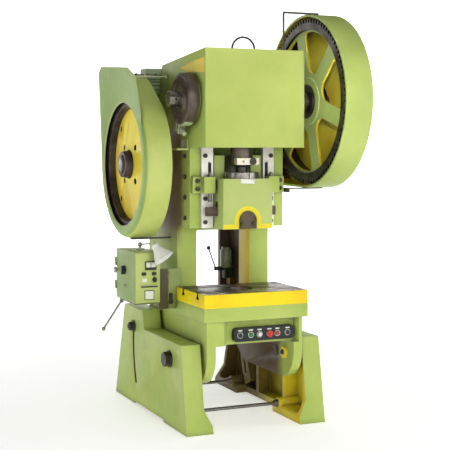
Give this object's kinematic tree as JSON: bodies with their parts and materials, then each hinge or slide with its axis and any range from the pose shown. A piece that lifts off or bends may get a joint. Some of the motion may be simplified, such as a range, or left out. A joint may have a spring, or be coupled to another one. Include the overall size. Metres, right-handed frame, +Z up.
{
  "type": "mechanical stamping press",
  "caption": "Geared, inclinable, open-back C-frame crank press: guarded gear and flywheel, adjustable slide, T-slotted bolster, knock-out bar and electric controls.",
  "frame": {"origin": "on the floor, at the centre of the four foundation bolts", "axes": "+X to the right seen from the front, +Y to the back, +Z up; the press faces -Y"},
  "size_m": [1.448, 1.7829, 2.7343],
  "materials": {
    "green_paint": "semi-gloss paint on cast iron and sheet",
    "yellow_paint": "semi-gloss paint on cast iron",
    "steel": "machined, lightly oiled",
    "dark_steel": "oiled, blackened",
    "cast_iron": "machined and oiled",
    "bronze": "machined",
    "sheet_white": "gloss enamel on sheet",
    "motor_paint": "paint on finned aluminium",
    "rubber": "matt",
    "black_plastic": "moulded",
    "red_plastic": "moulded",
    "green_plastic": "moulded",
    "white_plastic": "moulded"
  },
  "bodies": {
    "base": {"left_leg": "green_paint", "right_leg": "green_paint", "tie_rods": "steel", "tie_rod_nuts": "cast_iron", "pivot_bolts": "dark_steel"},
    "press_frame": {"frame": "green_paint", "lock_bolts": "dark_steel", "bolster_plate": "yellow_paint", "head_cover": "green_paint", "guide_rails": "steel", "guide_bolts": "dark_steel", "stop_brackets": "green_paint", "stop_screws": "dark_steel", "bearing_housings": "green_paint", "bearing_bushes": "bronze", "brake_band": "dark_steel", "brake_spring_bolt": "dark_steel", "brake_anchor": "green_paint", "gear_guard": "green_paint", "flywheel_guard": "green_paint", "guard_brackets": "green_paint", "motor_base": "green_paint", "motor": "motor_paint", "v_belts": "rubber", "control_box": "green_paint", "box_bracket": "green_paint", "box_instruments": "black_plastic", "button_panel": "black_plastic", "lubricator_pump": "cast_iron", "conduit_loop": "dark_steel"},
    "crank": {"crankshaft": "steel", "brake_drum": "cast_iron", "gear_retainer": "dark_steel"},
    "rod": {"connecting_rod": "cast_iron", "rod_clamp": "cast_iron"},
    "ram": {"slide": "green_paint", "ball_seat": "bronze", "ring_nut": "dark_steel", "shank_clamp": "steel", "shank_clamp_nuts": "dark_steel"},
    "screw": {"ball_screw": "steel"},
    "bar": {"knockout_bar": "dark_steel"},
    "drive": {"drive_shaft": "steel", "flywheel": "yellow_paint", "flywheel_nut": "dark_steel"},
    "bull_gear": {"gear": "cast_iron"},
    "pulley": {"motor_pulley": "cast_iron"},
    "door": {"control_box_door": "green_paint"},
    "power_knob": {"main_switch": "black_plastic"},
    "selector": {"selector_switch": "black_plastic"},
    "lever": {"hand_lever": "steel"},
    "lamp_arm": {"worklight_arm": "steel"},
    "lamp": {"worklight_head": "sheet_white"},
    "oil_lever": {"pump_lever": "steel"},
    "left_hand_push": {"left_hand_button": "black_plastic"},
    "start_push": {"start_button": "green_plastic"},
    "inch_push": {"inch_button": "white_plastic"},
    "stop_push": {"stop_button": "red_plastic"},
    "reset_push": {"reset_button": "red_plastic"},
    "right_hand_push": {"right_hand_button": "black_plastic"}
  },
  "joints": [
    {"name": "frame_tilt", "type": "hinge", "parent": "base", "child": "press_frame", "pos_m": [0, -0.424, 0.443], "axis": [-1, 0, 0], "range_deg": [0, 30]},
    {"name": "crank_turn", "type": "hinge", "parent": "press_frame", "child": "crank", "pos_m": [0, -0.475, 2.135], "axis": [1, 0, 0], "range_deg": [0, 180]},
    {"name": "slide_stroke", "type": "slide", "parent": "press_frame", "child": "rod", "axis": [0, 0, -1], "range_m": [0, 0.12]},
    {"name": "height_adjust", "type": "slide", "parent": "rod", "child": "ram", "axis": [0, 0, -1], "range_m": [0, 0.08]},
    {"name": "screw_turn", "type": "hinge", "parent": "ram", "child": "screw", "pos_m": [0, -0.475, 1.556], "axis": [0, 0, 1], "range_deg": [0, 2880]},
    {"name": "knockout_travel", "type": "slide", "parent": "ram", "child": "bar", "axis": [0, 0, 1], "range_m": [0, 0.033]},
    {"name": "drive_spin", "type": "hinge", "parent": "press_frame", "child": "drive", "pos_m": [0, 0.005, 1.70866], "axis": [1, 0, 0], "continuous": true},
    {"name": "gear_spin", "type": "hinge", "parent": "press_frame", "child": "bull_gear", "pos_m": [0, -0.475, 2.135], "axis": [1, 0, 0], "continuous": true},
    {"name": "motor_spin", "type": "hinge", "parent": "press_frame", "child": "pulley", "pos_m": [0, 0.343, 2.205], "axis": [1, 0, 0], "continuous": true},
    {"name": "box_door_swing", "type": "hinge", "parent": "press_frame", "child": "door", "pos_m": [-0.678, 0.146, 0.959], "axis": [0, 0, -1], "range_deg": [0, 110]},
    {"name": "main_switch_turn", "type": "hinge", "parent": "door", "child": "power_knob", "pos_m": [-0.68, -0.044, 0.995], "axis": [-1, 0, 0], "range_deg": [0, 90]},
    {"name": "selector_turn", "type": "hinge", "parent": "press_frame", "child": "selector", "pos_m": [-0.536, -0.265, 0.946], "axis": [0, -1, 0], "range_deg": [-45, 45]},
    {"name": "hand_lever_swing", "type": "hinge", "parent": "press_frame", "child": "lever", "pos_m": [-0.648, 0.1, 0.764], "axis": [0, 1, 0], "range_deg": [-15, 45]},
    {"name": "lamp_arm_turn", "type": "hinge", "parent": "press_frame", "child": "lamp_arm", "pos_m": [-0.562, -0.037, 1.14], "axis": [0, 0, 1], "range_deg": [-30, 20]},
    {"name": "oil_lever_swing", "type": "hinge", "parent": "press_frame", "child": "oil_lever", "pos_m": [0.146, 0.303, 0.935], "axis": [0, 1, 0], "range_deg": [-50, 8]},
    {"name": "lamp_tilt", "type": "hinge", "parent": "lamp_arm", "child": "lamp", "pos_m": [-0.56366, -0.30134, 1.19166], "axis": [0.7071, 0.7071, 0], "range_deg": [-20, 10]},
    {"name": "left_hand_press", "type": "slide", "parent": "press_frame", "child": "left_hand_push", "axis": [0, 1, 0], "range_m": [0, 0.004], "stiffness_N_per_m": 400},
    {"name": "start_press", "type": "slide", "parent": "press_frame", "child": "start_push", "axis": [0, 1, 0], "range_m": [0, 0.004], "stiffness_N_per_m": 400},
    {"name": "inch_press", "type": "slide", "parent": "press_frame", "child": "inch_push", "axis": [0, 1, 0], "range_m": [0, 0.004], "stiffness_N_per_m": 400},
    {"name": "stop_press", "type": "slide", "parent": "press_frame", "child": "stop_push", "axis": [0, 1, 0], "range_m": [0, 0.004], "stiffness_N_per_m": 400},
    {"name": "reset_press", "type": "slide", "parent": "press_frame", "child": "reset_push", "axis": [0, 1, 0], "range_m": [0, 0.004], "stiffness_N_per_m": 400},
    {"name": "right_hand_press", "type": "slide", "parent": "press_frame", "child": "right_hand_push", "axis": [0, 1, 0], "range_m": [0, 0.004], "stiffness_N_per_m": 400}
  ],
  "couplings": [
    {"joint": "slide_stroke", "follows": "crank_turn", "m_per_rad": 0.038197},
    {"joint": "screw_turn", "follows": "height_adjust", "rad_per_m": 628.32},
    {"joint": "gear_spin", "follows": "drive_spin", "ratio": -0.17582},
    {"joint": "motor_spin", "follows": "drive_spin", "ratio": 5.4937}
  ]
}
